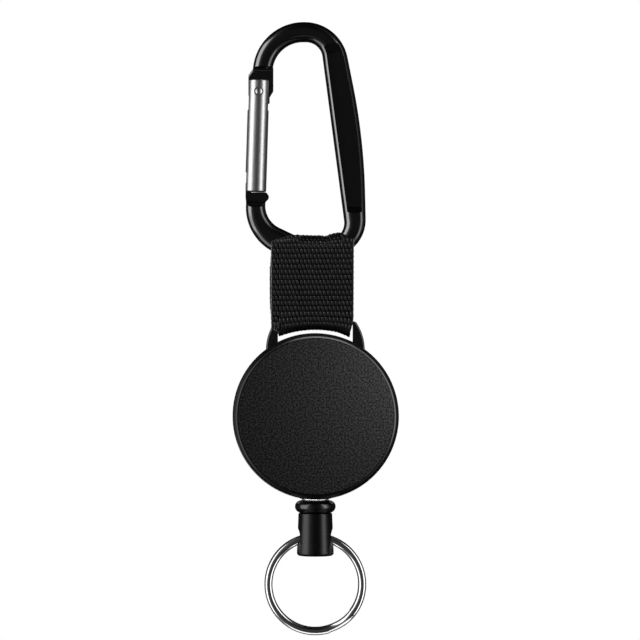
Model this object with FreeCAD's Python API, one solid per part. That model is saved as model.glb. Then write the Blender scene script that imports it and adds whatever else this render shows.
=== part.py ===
"""Retractable badge reel on a carabiner: one STEP file per piece, in millimetres.

Frame: the origin is the centre of the casing's flat back face. +Y points out of the back, so the
face that is seen in use looks along -Y. +Z points up the strap to the carabiner.
"""
import os
from math import acos, atan2, cos, degrees, hypot, pi, radians, sin, tan

import FreeCAD
import Part
from FreeCAD import Vector

X_AXIS = Vector(1, 0, 0)
Y_AXIS = Vector(0, 1, 0)
Z_AXIS = Vector(0, 0, 1)

# ---------------------------------------------------------------- driving dimensions
GAP = 0.05                  # running gap between pieces that only just touch
REACH = 30.0                # longer than any cut is deep: for tools that pass right through
EDGE_TOLERANCE = 1e-6

CASING_RADIUS = 20.1
CASING_DEPTH = 12.0
WALL = 1.5
MID = -CASING_DEPTH / 2     # the strap, the cord and the carabiner all lie in this plane
FLOOR_THICKNESS = 1.6
COVER_THICKNESS = 1.0
FACE_DISC_RADIUS = 18.9
FACE_DISC_THICKNESS = 0.8
FACE_DISC_BEVEL = 0.15
SEAM_Y = -7.1

WEBBING_WIDTH = 20.0
WEBBING_THICKNESS = 0.95
STRAP_CENTRE_X = -0.75
LOOP_BAR_RADIUS = 1.0
LOOP_PLATE_THICKNESS = 2.2

BAR_DEPTH = 4.8             # carabiner stock, front to back
BAR_ROUNDING = 2.0
GATE_RADIUS = 2.575
GATE_TILT = 1.8             # degrees, the gate's lower end leans outwards
TANG_THICKNESS = 1.8
SLOT_WIDTH = 2.0

CORD_RADIUS = 0.5
BEAD_RADIUS = 4.95
BEAD_HEIGHT = 3.0
SLEEVE_TOP_RADIUS = 4.1
SLEEVE_FLARE = 0.4
RING_OUTER_RADIUS = 12.36
RING_BAND = 1.95
RING_WIRE_THICKNESS = 1.4


# ---------------------------------------------------------------- shared helpers
def at(x, z, y=MID):
    """A point given by its place in the front view, in the middle plane unless y is given."""
    return Vector(x, y, z)


def rounded_outline(corners, y=MID):
    """Closed wire in the front view: corners is a list of ((x, z), radius), joined by straight lines."""
    count = len(corners)
    trimmed = []
    for i, (point, radius) in enumerate(corners):
        here = at(*point, y)
        before = at(*corners[i - 1][0], y) - here
        after = at(*corners[(i + 1) % count][0], y) - here
        before.normalize()
        after.normalize()
        half_angle = before.getAngle(after) / 2
        if radius == 0:
            trimmed.append((here, here, here))
            continue
        start = here + before * (radius / tan(half_angle))
        end = here + after * (radius / tan(half_angle))
        bisector = before + after
        bisector.normalize()
        middle = here + bisector * (radius / sin(half_angle) - radius)
        trimmed.append((start, middle, end))
    edges = []
    for i, (start, middle, end) in enumerate(trimmed):
        if start != end:
            edges.append(Part.Arc(start, middle, end).toShape())
        following = trimmed[(i + 1) % count][0]
        if end.distanceToPoint(following) > EDGE_TOLERANCE:
            edges.append(Part.makeLine(end, following))
    return Part.Wire(edges)


def plate(wire, thickness, y_middle=MID):
    """Flat plate with the wire's outline, centred on y_middle."""
    face = Part.Face(wire)
    face.translate(Vector(0, y_middle - thickness / 2 - wire.BoundBox.YMin, 0))
    return face.extrude(Y_AXIS * thickness)


def disc(radius, y_from, y_to, x=0.0, z=0.0):
    """Cylinder along Y between two depths."""
    low = min(y_from, y_to)
    return Part.makeCylinder(radius, abs(y_to - y_from), Vector(x, low, z), Y_AXIS)


def washer(outer, inner, y_from, y_to):
    """Flat ring about the spool axis."""
    return disc(outer, y_from, y_to).cut(disc(inner, y_from, y_to))


def block(x_from, x_to, y_from, y_to, z_from, z_to):
    """Box between two corners."""
    size = (x_to - x_from, y_to - y_from, z_to - z_from)
    return Part.makeBox(*size, Vector(x_from, y_from, z_from))


def turned(profile, centre, axis, angle=360.0):
    """Solid of revolution of a closed list of points."""
    face = Part.Face(Part.makePolygon(profile + [profile[0]]))
    return face.revolve(centre, axis, angle)


def spool_turned(profile):
    """Revolve (radius, y) points about the spool axis."""
    return turned([Vector(r, y, 0) for r, y in profile], Vector(0, 0, 0), Y_AXIS)


def cord_turned(profile):
    """Revolve (radius, z) points about the line that the cord is pulled along."""
    return turned([Vector(r, MID, z) for r, z in profile], at(0, 0), Z_AXIS)


def round_edges(solid, radius, chosen):
    """Fillet the edges that the chosen() test picks."""
    return solid.makeFillet(radius, [e for e in solid.Edges if chosen(e)])


def lies_at_depth(edge, depth):
    """True if the whole edge lies in the plane y = depth."""
    box = edge.BoundBox
    return abs(box.YMin - depth) < EDGE_TOLERANCE and abs(box.YMax - depth) < EDGE_TOLERANCE


# ---------------------------------------------------------------- carabiner
BOW_TOP = 95.65
BOW_INNER_TOP = 90.8
BASE_OUTER = 38.6
BASE_INNER = 42.9
BASE_CENTRE = (BASE_OUTER + BASE_INNER) / 2    # the strap's fold turns about this height
SPINE_RIM = 0.95            # width of the rims beside the flute
FLUTE_DEPTH = 1.35
FLUTE_TOP = 86.9
FLUTE_TOP_RUNOUT = 2.4
FLUTE_TOP_RISE = 4.5        # the upper end slants: it is this much higher at FLUTE_RIGHT
FLUTE_RIGHT = 16.0
FLUTE_BOTTOM = 50.8
FLUTE_BOTTOM_RUNOUT = 1.6

PIVOT_X = -13.75
PIVOT_Z = 78.7
GATE_TOP = 81.6
GATE_BOTTOM = 54.4
OPENING_LEFT = -20.0          # the gate's opening is cut between these, clear of the spine
OPENING_RIGHT = -8.0
TANG_TOP = 83.3
TANG_SHOULDER_X = -15.0
TANG_SHOULDER_Z = 84.5
TANG_LEFT = -16.25
TANG_LEFT_TOP = 82.75
TANG_NOTCH = 0.4              # step in the left edge, below the pivot
TANG_NOTCH_TOP = 77.8
TANG_NOTCH_BOTTOM = 77.5
TANG_CORNER_TOP = 78.8        # the slanted lower right corner runs between these heights
TANG_CORNER_BOTTOM = 77.3
TANG_MILL_RADIUS = 1.5
TANG_RIGHT = -10.2
TANG_FOOT_RIGHT = -11.1       # just inside the gate's edge, below the tang's slanted corner
TANG_BEVEL = 0.4
NOSE_TOP = 54.25
NOSE_FLAT_BOTTOM = 52.7
NOSE_MILL_RADIUS = 2.1
NOSE_NOTCH_Z = 51.9
TONGUE_TOP = 56.7
TONGUE_RIGHT = -15.6
NOSE_LEFT = -16.95
NOSE_RIGHT = -11.0
NOSE_NOTCH_X = -12.1          # the nose is notched on the right, below its rounded bulge
NOSE_BULGE_X = -11.9
NOSE_BULGE_Z = 53.05
NOSE_FOOT = 51.7              # the nose ends here, inside the bar
CAM_RADIUS = 3.2            # round lower edge of the tang, which the plunger presses on
CAM_OFFSET = 1.0
RIVET_RADIUS = 1.15
RIVET_DIMPLE_RADIUS = 1.3
RIVET_DIMPLE_DEPTH = 0.3
GATE_END_ROUNDING = 0.35
GATE_BORE = 1.6
BORE_BOTTOM = 60.5
UPPER_SLOT_BOTTOM = 74.2
LOWER_SLOT_TOP = 59.1
LOWER_SLOT_RIGHT = -13.55     # the lower slot is open to the left only
PLUNGER_HEAD = 0.8
PLUNGER_STEM_RADIUS = 0.8
PLUNGER_STEM_LENGTH = 2.0
SPRING_COILS = 11
SPRING_WIRE = 0.175
SPRING_RADIUS = 1.2

OUTER_CORNERS = [
    ((-14.6, BOW_TOP), 12.4),
    ((6.1, BOW_TOP), 10.6),
    ((11.81, 67.3), 150.0),
    ((12.45, BASE_OUTER), 9.0),
    ((-17.5, BASE_OUTER), 12.0),
]
INNER_CORNERS = [
    ((-10.0, BOW_INNER_TOP), 7.4),
    ((1.28, BOW_INNER_TOP), 4.0),
    ((7.6, BASE_INNER), 4.0),
    ((-2.9, BASE_INNER), 12.0),
    ((-12.35, 47.4), 6.0),
]


def carabiner_ring():
    """The closed, rounded ring that the carabiner is forged as, before its gate opening is cut."""
    outer = plate(rounded_outline(OUTER_CORNERS), BAR_DEPTH)
    inner = plate(rounded_outline(INNER_CORNERS), BAR_DEPTH)
    ring = outer.cut(inner)
    front = MID - BAR_DEPTH / 2
    back = MID + BAR_DEPTH / 2
    return round_edges(ring, BAR_ROUNDING, lambda e: lies_at_depth(e, front) or lies_at_depth(e, back))


def flute_band():
    """Strip along the spine that the flute lies in, inset from both edges of the bar."""
    bar = Part.Face(rounded_outline(OUTER_CORNERS)).cut(Part.Face(rounded_outline(INNER_CORNERS)))
    inset_bar = bar.Faces[0].makeOffset2D(-SPINE_RIM)
    window = Part.Face(rounded_outline([
        ((0.0, BASE_INNER), 0), ((0.0, BOW_INNER_TOP), 0),
        ((FLUTE_RIGHT, BOW_INNER_TOP + FLUTE_TOP_RISE), 0), ((FLUTE_RIGHT, BASE_INNER), 0)]))
    return inset_bar.common(window).Faces[0]


def flute(side):
    """Material taken out of one face of the spine: side is -1 for the front, +1 for the back."""
    floor = MID + side * (BAR_DEPTH / 2 - FLUTE_DEPTH)
    outside = MID + side * BAR_DEPTH
    climb = (BAR_DEPTH / 2 + FLUTE_DEPTH) / FLUTE_DEPTH
    profiles = []
    for x, rise in ((0.0, 0.0), (FLUTE_RIGHT, FLUTE_TOP_RISE)):
        top = FLUTE_TOP + rise
        profiles.append(Part.makePolygon([
            at(x, top, floor), at(x, top + FLUTE_TOP_RUNOUT * climb, outside),
            at(x, FLUTE_BOTTOM - FLUTE_BOTTOM_RUNOUT * climb, outside), at(x, FLUTE_BOTTOM, floor),
            at(x, top, floor)]))
    boat = Part.makeLoft(profiles, True, True)
    strip = flute_band().extrude(Y_AXIS * side * BAR_DEPTH)
    return boat.common(strip)


def tang():
    """Thin tongue that the gate's upper slot straddles; its lower edge is the plunger's cam."""
    cam_foot = PIVOT_Z - CAM_RADIUS
    notched_left = TANG_LEFT + TANG_NOTCH
    outline = rounded_outline([
        ((TANG_SHOULDER_X, TANG_SHOULDER_Z), 0), ((TANG_LEFT, TANG_LEFT_TOP), 0),
        ((TANG_LEFT, TANG_NOTCH_TOP), 0), ((notched_left, TANG_NOTCH_BOTTOM), 0),
        ((notched_left, cam_foot), 0), ((TANG_FOOT_RIGHT, cam_foot), 0),
        ((TANG_FOOT_RIGHT, TANG_CORNER_BOTTOM), 0), ((TANG_RIGHT, TANG_CORNER_TOP), 0),
        ((TANG_RIGHT, TANG_SHOULDER_Z), 0)])
    sheet = bevel_slanted_sides(plate(outline, TANG_THICKNESS))
    front = MID - TANG_THICKNESS
    back = MID + TANG_THICKNESS
    cam = disc(CAM_RADIUS, front, back, PIVOT_X + CAM_OFFSET, PIVOT_Z)
    above = block(OPENING_LEFT, OPENING_RIGHT, front, back, TANG_NOTCH_TOP, TANG_SHOULDER_Z)
    rounded = sheet.common(cam.fuse(above))
    return rounded.cut(disc(RIVET_RADIUS + GAP, front, back, PIVOT_X, PIVOT_Z))


def bevel_slanted_sides(sheet):
    """Bevel the tang's slanted sides where they meet its faces."""
    half = TANG_THICKNESS / 2

    def slanted(edge):
        box = edge.BoundBox
        on_face = lies_at_depth(edge, MID - half) or lies_at_depth(edge, MID + half)
        return on_face and min(box.XLength, box.ZLength) > TANG_BEVEL
    return sheet.makeChamfer(TANG_BEVEL, [e for e in sheet.Edges if slanted(e)])


def nose():
    """Thin flat end below the gate, with the tongue that the gate's lower slot closes on."""
    return plate(rounded_outline([
        ((NOSE_LEFT + 0.15, NOSE_FOOT), 0), ((NOSE_LEFT, NOSE_BULGE_Z), 0),
        ((NOSE_LEFT, TONGUE_TOP), 0.4), ((TONGUE_RIGHT, TONGUE_TOP), 0.4), ((TONGUE_RIGHT, NOSE_TOP), 0),
        ((NOSE_BULGE_X, NOSE_TOP), 0.3), ((NOSE_RIGHT, NOSE_BULGE_Z), 0.9),
        ((NOSE_NOTCH_X, NOSE_NOTCH_Z), 0.3), ((NOSE_NOTCH_X, NOSE_FOOT), 0)]), TANG_THICKNESS)


def milled_ramp(side, z, radius):
    """Hollow left by the round cutter that thins the bar's end to the tang's thickness."""
    tang_face = MID + side * TANG_THICKNESS / 2
    return Part.makeCylinder(radius, OPENING_RIGHT - OPENING_LEFT,
                             Vector(OPENING_LEFT, tang_face + side * radius, z), X_AXIS)


def carabiner_body():
    opening = block(OPENING_LEFT, OPENING_RIGHT, MID - BAR_DEPTH, MID + BAR_DEPTH,
                    NOSE_FLAT_BOTTOM, TANG_TOP)
    body = carabiner_ring().cut(opening)
    for side in (-1, 1):
        body = body.cut([flute(side), milled_ramp(side, TANG_TOP, TANG_MILL_RADIUS),
                         milled_ramp(side, NOSE_FLAT_BOTTOM, NOSE_MILL_RADIUS)])
    return body.fuse([tang(), nose()]).removeSplitter()


def upright_to_gate(shape):
    """Turn a piece modelled upright at the rivet to the lean that the gate has when it is closed."""
    shape.rotate(at(PIVOT_X, PIVOT_Z), Y_AXIS, GATE_TILT)
    return shape


def gate_rod(radius, z_from, z_to):
    """Rod on the gate's own upright axis."""
    return Part.makeCylinder(radius, z_to - z_from, at(PIVOT_X, z_from), Z_AXIS)


def carabiner_gate():
    rod = gate_rod(GATE_RADIUS, GATE_BOTTOM, GATE_TOP)
    rod = round_edges(rod, GATE_END_ROUNDING, lambda e: e.BoundBox.ZLength < EDGE_TOLERANCE)
    rod = rod.cut(gate_rod(GATE_BORE, BORE_BOTTOM, GATE_TOP + 1))
    slot_front = MID - SLOT_WIDTH / 2
    slot_back = MID + SLOT_WIDTH / 2
    upper_slot = block(OPENING_LEFT, OPENING_RIGHT, slot_front, slot_back, UPPER_SLOT_BOTTOM, GATE_TOP + 1)
    lower_slot = block(OPENING_LEFT, LOWER_SLOT_RIGHT, slot_front, slot_back,
                       GATE_BOTTOM - 1, LOWER_SLOT_TOP)
    rivet_hole = disc(RIVET_RADIUS, MID - REACH, MID + REACH, PIVOT_X, PIVOT_Z)
    return upright_to_gate(rod.cut(upper_slot).cut(lower_slot).cut(rivet_hole))


def gate_rivet():
    shank_half = GATE_RADIUS - GAP
    rivet = disc(RIVET_RADIUS, MID - shank_half, MID + shank_half, PIVOT_X, PIVOT_Z)
    for side in (-1, 1):
        seat = MID + side * shank_half
        outward = side * (RIVET_DIMPLE_RADIUS - RIVET_DIMPLE_DEPTH)
        dimple = Part.makeSphere(RIVET_DIMPLE_RADIUS, Vector(PIVOT_X, seat + outward, PIVOT_Z))
        rivet = rivet.cut(dimple)
    return rivet


def gate_plunger():
    top = PIVOT_Z - CAM_RADIUS - GAP
    head = gate_rod(GATE_BORE - GAP, top - PLUNGER_HEAD, top)
    foot = top - PLUNGER_HEAD
    stem = gate_rod(PLUNGER_STEM_RADIUS, foot - PLUNGER_STEM_LENGTH, foot)
    return upright_to_gate(head.fuse(stem))


def gate_spring():
    bottom = BORE_BOTTOM + SPRING_WIRE + GAP
    top = PIVOT_Z - CAM_RADIUS - 2 * GAP - PLUNGER_HEAD - SPRING_WIRE
    height = top - bottom
    helix = Part.makeHelix(height / SPRING_COILS, height, SPRING_RADIUS)
    section = Part.Wire(Part.makeCircle(SPRING_WIRE, Vector(SPRING_RADIUS, 0, 0), Y_AXIS))
    coil = Part.Wire(helix.Edges).makePipeShell([section], True, True)
    coil.translate(at(PIVOT_X, bottom))
    return upright_to_gate(coil)


# ---------------------------------------------------------------- webbing strap
FOLD_TOP = 44.1             # outside of the fold over the carabiner's bar
FOLD_BOTTOM = 20.6          # outside of the fold under the loop's bar
ARCH_RADIUS = 25.0          # the loop's bar and the lower fold bow upwards
ARCH_HALF_ANGLE = 30.0      # wider than the strap, which is cut to its outline afterwards
LOWER_FOLD_RADIUS = 2.6
LOWER_FOLD_CENTRE = FOLD_BOTTOM + LOWER_FOLD_RADIUS
ARCH_CENTRE_Z = LOWER_FOLD_CENTRE - ARCH_RADIUS
UPPER_FOLD_HALF_DEPTH = 4.4
LAYERS_SPLIT_Z = 26.0       # below this the strap follows the arch, above it is straight
LAP_TOP = 36.5              # the end that is lapped over and sewn on the back
LAP_BOTTOM = 28.5
LAP_THICKNESS = 0.8
LAYER_LEAN = atan2(UPPER_FOLD_HALF_DEPTH - LOWER_FOLD_RADIUS, BASE_CENTRE - LAYERS_SPLIT_Z)
STITCH_WIDTH = 16.0
STITCH_HEIGHT = 5.5
THREAD = 0.4

FOLD_LEFT = -1.9            # the fold closes over the bar between these, where the bar is straight
FOLD_RIGHT = 5.3
FOLD_STEP_X = 3.2           # from here to the right the fold rides up the bar's corner
FOLD_STEP = 0.6
CORNER_LEFT = -6.7          # outside these the layers are thinned, where the bar's corners swing past
CORNER_RIGHT = 6.0
CORNER_RELIEF = 0.5
LAP_SINK = 0.3              # the lap and the layer below it are pressed together
OPEN_TOP = FOLD_TOP + 5     # above the strap
STRAP_LEFT = STRAP_CENTRE_X - WEBBING_WIDTH / 2
STRAP_RIGHT = STRAP_CENTRE_X + WEBBING_WIDTH / 2
STRAP_SILHOUETTE = [
    ((STRAP_LEFT, 41.6), 0), ((-6.6, FOLD_TOP), 0), ((FOLD_STEP_X, FOLD_TOP), 0),
    ((FOLD_STEP_X + 1.2, FOLD_TOP + FOLD_STEP), 0), ((6.3, FOLD_TOP + FOLD_STEP), 0), ((7.4, 42.7), 0),
    ((STRAP_RIGHT, 41.0), 0), ((STRAP_RIGHT, 22.5), 0), ((8.4, 20.4), 0), ((8.4, 17.5), 0),
    ((-8.75, 17.5), 0), ((-8.75, 22.3), 0), ((STRAP_LEFT, 22.8), 0)]


def side_profile(half_low, half_high, top_z, shoulder_z, z_low):
    """Side view of the strap's upper part: two layers that part upwards and meet over the bar."""
    foot_front = Vector(0, MID - half_low, z_low)
    foot_back = Vector(0, MID + half_low, z_low)
    shoulder_front = Vector(0, MID - half_high, shoulder_z)
    shoulder_back = Vector(0, MID + half_high, shoulder_z)
    rise = top_z - shoulder_z
    crown_centre = Vector(0, MID, shoulder_z)
    if rise < half_high:
        ellipse = Part.Ellipse(shoulder_back, Vector(0, MID, top_z), crown_centre)
    else:
        ellipse = Part.Ellipse(Vector(0, MID, top_z), shoulder_back, crown_centre)
    u_back = ellipse.parameter(shoulder_back)
    u_top = ellipse.parameter(Vector(0, MID, top_z))
    quarter = Part.ArcOfEllipse(ellipse, min(u_back, u_top), max(u_back, u_top)).toShape()
    other = quarter.mirror(Vector(0, MID, 0), Y_AXIS)
    edges = [Part.makeLine(foot_front, foot_back), Part.makeLine(foot_back, shoulder_back),
             quarter, other, Part.makeLine(shoulder_front, foot_front)]
    return Part.Wire(Part.__sortEdges__(edges))


def upper_loop(half_low, half_high, top_z, shoulder_z):
    """The strap's straight upper part as a solid bar across its full width."""
    wire = side_profile(half_low, half_high, top_z, shoulder_z, LAYERS_SPLIT_Z)
    bar = Part.Face(wire).extrude(X_AXIS * REACH)
    bar.translate(Vector(-REACH / 2, 0, 0))
    return bar


def lower_loop(radius):
    """The arched lower fold: a U section carried round the arch's centre."""
    centre = at(0, ARCH_CENTRE_Z)
    rod = Part.Face(Part.Wire(Part.makeCircle(radius, at(0, LOWER_FOLD_CENTRE), X_AXIS)))
    leg_top = LAYERS_SPLIT_Z + 8
    legs = Part.Face(Part.makePolygon([
        at(0, LOWER_FOLD_CENTRE, MID - radius), at(0, LOWER_FOLD_CENTRE, MID + radius),
        at(0, leg_top, MID + radius), at(0, leg_top, MID - radius),
        at(0, LOWER_FOLD_CENTRE, MID - radius)]))
    sweep = 2 * ARCH_HALF_ANGLE
    fold = rod.revolve(centre, Y_AXIS, sweep).fuse(legs.revolve(centre, Y_AXIS, sweep))
    fold.rotate(centre, Y_AXIS, -ARCH_HALF_ANGLE)
    return fold.common(block(-REACH, REACH, MID - REACH, MID + REACH, 0, LAYERS_SPLIT_Z))


def back_layer_y(z):
    """Outer surface of the back layer at a height on its straight part."""
    return MID + LOWER_FOLD_RADIUS + (z - LAYERS_SPLIT_Z) * tan(LAYER_LEAN)


def strap_lap():
    """The webbing's end, turned over and laid on the back layer."""
    low = back_layer_y(LAP_BOTTOM)
    high = back_layer_y(LAP_TOP)
    left = -REACH / 2
    section = Part.makePolygon([
        at(left, LAP_BOTTOM, low - LAP_SINK), at(left, LAP_BOTTOM, low + LAP_THICKNESS),
        at(left, LAP_TOP, high + LAP_THICKNESS), at(left, LAP_TOP, high - LAP_SINK),
        at(left, LAP_BOTTOM, low - LAP_SINK)])
    return Part.Face(section).extrude(X_AXIS * REACH)


def strap_stitching():
    """Box stitch with crossed diagonals, lying on the lap."""
    half_width = STITCH_WIDTH / 2
    half_height = STITCH_HEIGHT / 2
    bars = [
        block(-half_width, half_width, 0, THREAD, half_height - THREAD, half_height),
        block(-half_width, half_width, 0, THREAD, -half_height, -half_height + THREAD),
        block(-half_width, -half_width + THREAD, 0, THREAD, -half_height, half_height),
        block(half_width - THREAD, half_width, 0, THREAD, -half_height, half_height)]
    for side in (-1, 1):
        diagonal = block(-half_width - 2, half_width + 2, 0, THREAD, -THREAD / 2, THREAD / 2)
        diagonal.rotate(Vector(0, 0, 0), Y_AXIS, side * degrees(atan2(half_height, half_width)))
        bars.append(diagonal.common(block(-half_width, half_width, 0, THREAD, -half_height, half_height)))
    thread = bars[0].fuse(bars[1:]).removeSplitter()
    middle = (LAP_BOTTOM + LAP_TOP) / 2
    thread.rotate(Vector(0, 0, 0), X_AXIS, -degrees(LAYER_LEAN))
    thread.translate(Vector(STRAP_CENTRE_X, back_layer_y(middle) + LAP_THICKNESS + 0.01, middle))
    return thread


def webbing_strap():
    cavity_radius = LOWER_FOLD_RADIUS - WEBBING_THICKNESS
    inner_half = UPPER_FOLD_HALF_DEPTH - WEBBING_THICKNESS
    outer = upper_loop(LOWER_FOLD_RADIUS, UPPER_FOLD_HALF_DEPTH, FOLD_TOP + FOLD_STEP, BASE_CENTRE)
    outer = outer.fuse([lower_loop(LOWER_FOLD_RADIUS), strap_lap()])
    inner = upper_loop(cavity_radius, inner_half, BASE_INNER + 0.35, BASE_CENTRE - 0.2)
    inner = inner.fuse(lower_loop(cavity_radius))
    strap = outer.cut(inner)
    strap = strap.common(plate(rounded_outline(STRAP_SILHOUETTE), REACH))
    thinned = inner_half + CORNER_RELIEF
    for x_from, x_to, half_depth, z_from, z_to in (
            (-REACH, FOLD_LEFT, inner_half, BASE_OUTER, OPEN_TOP),
            (FOLD_STEP_X, FOLD_RIGHT, inner_half, BASE_OUTER, FOLD_TOP - 0.3),
            (FOLD_RIGHT, REACH, inner_half, BASE_OUTER, OPEN_TOP),
            (-REACH, CORNER_LEFT, thinned, BASE_CENTRE, OPEN_TOP),
            (CORNER_RIGHT, REACH, thinned, BASE_CENTRE, OPEN_TOP)):
        strap = strap.cut(block(x_from, x_to, MID - half_depth, MID + half_depth, z_from, z_to))
    return strap.removeSplitter()


# ---------------------------------------------------------------- loop plate
LOOP_CENTRE_Z = 16.0
LOOP_RADIUS = 12.0
LOOP_EDGE_ROUNDING = 0.5
LOOP_TOP_RADIUS = 26.5        # the loop's top follows its bar
LOOP_BAR_OVERLAP = 0.3        # the bar runs this far into the legs
LOOP_OPENING_HALF = 9.1
LOOP_FOOT_INNER = 18.7
LOOP_FOOT_ANGLE = 41.0
LOOP_Y_FRONT = MID - LOOP_PLATE_THICKNESS / 2
LOOP_Y_BACK = MID + LOOP_PLATE_THICKNESS / 2


def sector(inner, outer, half_angle, y_from, y_to):
    """Piece of a ring about the spool axis, centred on the top."""
    face = Part.Face(Part.makePolygon([
        Vector(0, y_from, inner), Vector(0, y_to, inner),
        Vector(0, y_to, outer), Vector(0, y_from, outer), Vector(0, y_from, inner)]))
    ring = face.revolve(Vector(0, 0, 0), Y_AXIS, 2 * half_angle)
    ring.rotate(Vector(0, 0, 0), Y_AXIS, -half_angle)
    return ring


def loop_plate():
    legs = disc(LOOP_RADIUS, LOOP_Y_FRONT, LOOP_Y_BACK, 0, LOOP_CENTRE_Z)
    legs = round_edges(legs, LOOP_EDGE_ROUNDING, lambda e: e.Closed)
    legs = legs.cut(block(-LOOP_OPENING_HALF, LOOP_OPENING_HALF, MID - REACH, MID + REACH, 0, REACH))
    legs = legs.cut(disc(LOOP_FOOT_INNER, MID - REACH, MID + REACH))
    legs = legs.common(disc(LOOP_TOP_RADIUS, MID - REACH, MID + REACH, 0, ARCH_CENTRE_Z))
    foot = sector(LOOP_FOOT_INNER, CASING_RADIUS - 0.1, LOOP_FOOT_ANGLE, LOOP_Y_FRONT, LOOP_Y_BACK)
    half_angle = degrees(atan2(LOOP_OPENING_HALF + LOOP_BAR_OVERLAP, ARCH_RADIUS))
    section = Part.Face(Part.Wire(Part.makeCircle(LOOP_BAR_RADIUS, at(0, LOWER_FOLD_CENTRE), X_AXIS)))
    bar = section.revolve(at(0, ARCH_CENTRE_Z), Y_AXIS, 2 * half_angle)
    bar.rotate(at(0, ARCH_CENTRE_Z), Y_AXIS, -half_angle)
    return legs.fuse([foot, bar]).removeSplitter()


# ---------------------------------------------------------------- casing
INNER_RADIUS = CASING_RADIUS - WALL
DISC_SEAT_Y = -CASING_DEPTH + FACE_DISC_THICKNESS
COVER_INNER_Y = DISC_SEAT_Y + COVER_THICKNESS
POST_RADIUS = 2.5
SCREW_RADIUS = 1.0
SCREW_HEAD_RADIUS = 1.9
SCREW_END_Y = -6.2
SOCKET_LENGTH = 2.2           # cross recess in the screw's head
SOCKET_WIDTH = 0.4
SOCKET_DEPTH = 0.5
REAR_BOSS_RADIUS = 6.0
REAR_BOSS_Y = -2.4
LIP_RADIUS = 18.5           # locating lip of the front cover, inside the rear wall
LIP_THICKNESS = 0.5
LIP_Y = -6.1
DISC_SEAT_RADIUS = FACE_DISC_RADIUS + 0.1
RIM_EDGES = [               # (radius, y) of the rim's two bevels, from the face outwards
    (DISC_SEAT_RADIUS, -11.9), (DISC_SEAT_RADIUS + 0.35, -11.71), (CASING_RADIUS - 0.15, -11.05),
    (CASING_RADIUS, -10.7)]
BACK_EDGE_ROUNDING = 0.8
SPRING_SLIT = 0.4
SPRING_SLIT_BOTTOM = 1.35

OUTLET_BOSS_RADIUS = 3.85
OUTLET_GAP_HALF = 5.0         # the cover's lip is left out over this width, round the outlet
OUTLET_FACE_Z = -20.05
OUTLET_DEPTH = 4.0
BUSH_FLANGE_RADIUS = 3.3
BUSH_FLANGE_TOP = -19.6
BUSH_BOTTOM = -20.45
BUSH_BODY_RADIUS = 2.3
BUSH_TOP = -17.95
BUSH_BORE = 0.65
BUSH_LIP_RADIUS = 1.0


def outlet_boss(y_from, y_to):
    """The flat-ended boss round the cord's outlet, for one half of the casing."""
    height = -OUTLET_FACE_Z - (INNER_RADIUS - 0.4)
    boss = Part.makeCylinder(OUTLET_BOSS_RADIUS, height, at(0, OUTLET_FACE_Z), Z_AXIS)
    return boss.common(block(-REACH, REACH, y_from, y_to, -REACH, 0))


def outlet_hole():
    """Stepped hole for the outlet bush."""
    bore = Part.makeCylinder(BUSH_BODY_RADIUS, OUTLET_DEPTH, at(0, OUTLET_FACE_Z - 1), Z_AXIS)
    recess_depth = BUSH_FLANGE_TOP - (OUTLET_FACE_Z - 1)
    recess = Part.makeCylinder(BUSH_FLANGE_RADIUS, recess_depth, at(0, OUTLET_FACE_Z - 1), Z_AXIS)
    return bore.fuse(recess)


def rear_housing():
    shell = disc(CASING_RADIUS, 0, SEAM_Y)
    shell = round_edges(shell, BACK_EDGE_ROUNDING, lambda e: e.Closed and lies_at_depth(e, 0))
    shell = shell.cut(disc(INNER_RADIUS, -FLOOR_THICKNESS, SEAM_Y - 1))
    shell = shell.fuse([disc(REAR_BOSS_RADIUS, -FLOOR_THICKNESS, REAR_BOSS_Y),
                        disc(POST_RADIUS, -FLOOR_THICKNESS, COVER_INNER_Y),
                        outlet_boss(SEAM_Y, -1.0)])
    notch = sector(INNER_RADIUS - 0.5, CASING_RADIUS + 1, LOOP_FOOT_ANGLE, SEAM_Y - 1, LOOP_Y_BACK)
    slit = block(SPRING_SLIT_BOTTOM, POST_RADIUS + 1, SPRING_FRONT_Y - 0.1, SPRING_BACK_Y + 0.1,
                 -SPRING_SLIT / 2, SPRING_SLIT / 2)
    for tool in (outlet_hole(), notch, slit, disc(SCREW_RADIUS, SCREW_END_Y, COVER_INNER_Y - 1)):
        shell = shell.cut(tool)
    return shell.removeSplitter()


def front_cover():
    rim = spool_turned([
        (0, COVER_INNER_Y), (INNER_RADIUS, COVER_INNER_Y), (INNER_RADIUS, SEAM_Y), (CASING_RADIUS, SEAM_Y),
        *reversed(RIM_EDGES), (DISC_SEAT_RADIUS, DISC_SEAT_Y), (0, DISC_SEAT_Y)])
    lip = washer(LIP_RADIUS, LIP_RADIUS - LIP_THICKNESS, COVER_INNER_Y, LIP_Y)
    lip = lip.fuse(washer(INNER_RADIUS, LIP_RADIUS - LIP_THICKNESS, COVER_INNER_Y, SEAM_Y))
    lip = lip.cut(block(-OUTLET_GAP_HALF, OUTLET_GAP_HALF, -CASING_DEPTH, 0, -REACH, 0))
    cover = rim.fuse([lip, outlet_boss(COVER_INNER_Y, SEAM_Y)])
    head = spool_turned([(0, DISC_SEAT_Y), (SCREW_HEAD_RADIUS, DISC_SEAT_Y), (SCREW_RADIUS, COVER_INNER_Y),
                         (0, COVER_INNER_Y)])
    return cover.cut(outlet_hole()).cut(head).removeSplitter()


def face_disc():
    sheet = disc(FACE_DISC_RADIUS, -CASING_DEPTH, DISC_SEAT_Y)
    rim = [e for e in sheet.Edges if e.Closed and lies_at_depth(e, -CASING_DEPTH)]
    return sheet.makeChamfer(FACE_DISC_BEVEL, rim)


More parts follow.
